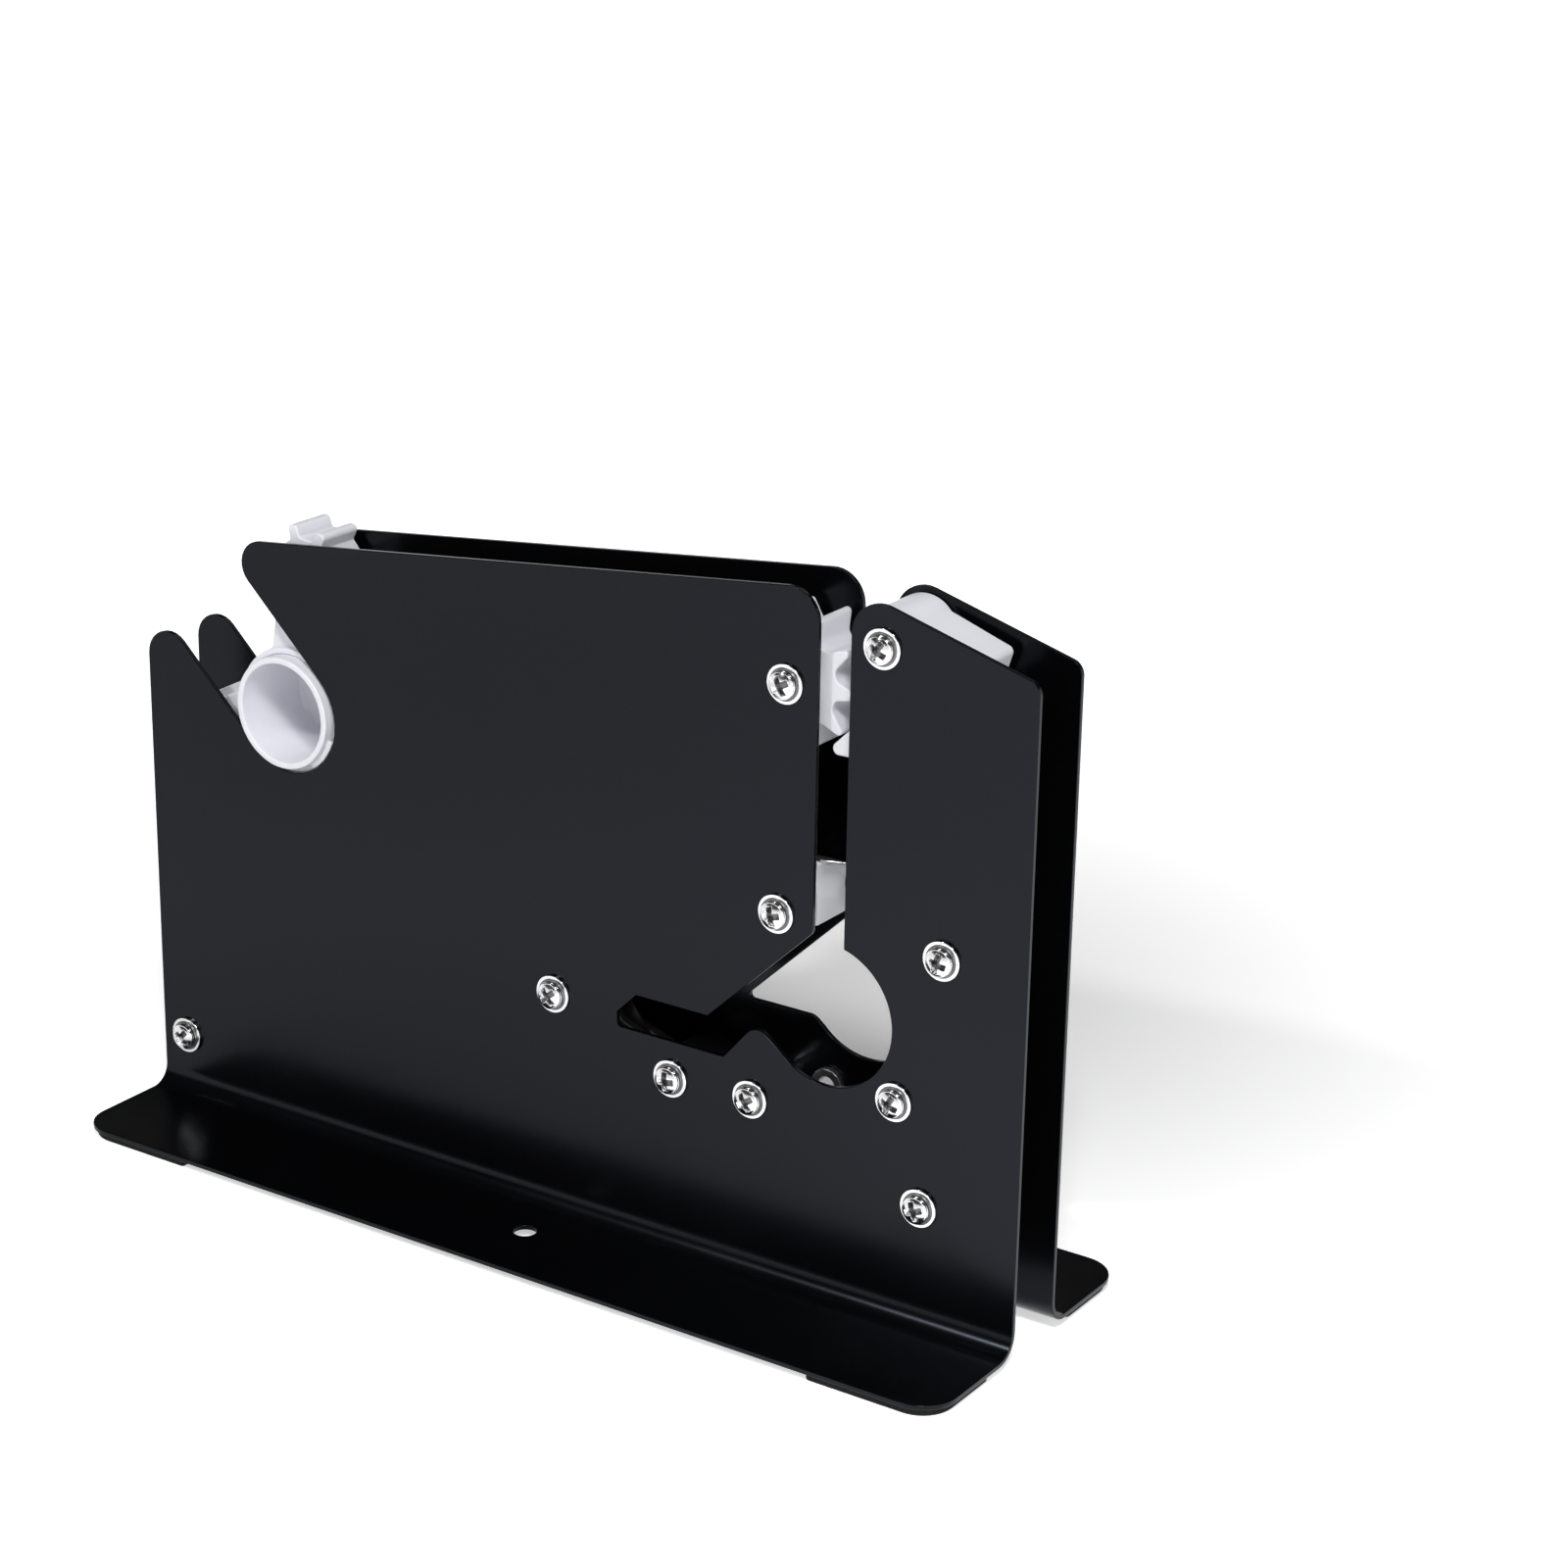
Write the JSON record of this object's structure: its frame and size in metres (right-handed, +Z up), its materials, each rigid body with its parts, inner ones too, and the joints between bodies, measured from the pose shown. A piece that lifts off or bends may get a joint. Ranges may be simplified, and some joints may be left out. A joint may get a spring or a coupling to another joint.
{
  "type": "bag sealing tape dispenser",
  "caption": "Bench device of bent black sheet steel that wraps adhesive tape round a bag neck pulled down its throat, cuts the tape and trims the neck in a side slot.",
  "frame": {"origin": "centre of the bounding box on the surface that the foot pads stand on", "axes": "+X along the plates, from the tape hub towards the throat; +Y from the front plate to the rear plate; +Z up"},
  "size_m": [0.25, 0.0832, 0.1681],
  "materials": {
    "black_paint": "satin black powder coat",
    "foam": "matte foam",
    "white_plastic": "smooth moulded",
    "black_plastic": "matte moulded",
    "zinc": "bright zinc plated",
    "steel": "bare spring steel",
    "black_steel": "blackened"
  },
  "bodies": {
    "frame": {"front_plate": "black_paint", "rear_plate": "black_paint", "foot_pad_front_left": "foam", "foot_pad_front_right": "foam", "foot_pad_rear_left": "foam", "foot_pad_rear_right": "foam", "upper_wheel_axle": "zinc", "presser_arm_axle": "zinc", "presser_spring": "steel", "spring_post": "zinc", "cutter_block": "white_plastic", "cutter_block_spacer": "zinc", "tape_blade": "steel", "tape_blade_screws": "zinc", "trim_holder_front": "black_plastic", "trim_holder_rear": "black_plastic", "trim_blade": "black_steel", "trim_holder_left_spacer": "zinc", "trim_holder_right_spacer": "zinc", "lower_left_spacer": "zinc", "hump_spacer": "zinc", "opening_spacer": "zinc", "lower_right_spacer": "zinc", "rear_bushing": "zinc", "front_screws": "zinc", "rear_screws": "zinc", "front_washers": "zinc", "rear_washers": "zinc"},
    "hub_tube": {"hub_tube": "white_plastic"},
    "tape_hub": {"tape_hub": "white_plastic"},
    "upper_wheel": {"upper_wheel": "white_plastic"},
    "presser_arm": {"presser_arm": "white_plastic", "spring_pin": "steel"}
  },
  "joints": [
    {"name": "hub_lift", "type": "slide", "parent": "frame", "child": "hub_tube", "axis": [-0.7193, 0, 0.6947], "range_m": [0, 0.11]},
    {"name": "tape_hub_spin", "type": "hinge", "parent": "hub_tube", "child": "tape_hub", "pos_m": [-0.08098, 0, 0.11106], "axis": [0, 1, 0], "continuous": true},
    {"name": "upper_wheel_spin", "type": "hinge", "parent": "frame", "child": "upper_wheel", "pos_m": [0.0624, 0, 0.146], "axis": [0, 1, 0], "continuous": true},
    {"name": "presser_swing", "type": "hinge", "parent": "frame", "child": "presser_arm", "pos_m": [0.0868, 0, 0.1585], "axis": [0, -1, 0], "range_deg": [0, 20], "stiffness_Nm_per_rad": 0.08, "springref_deg": -22.92, "deforming": ["presser_spring"]}
  ]
}
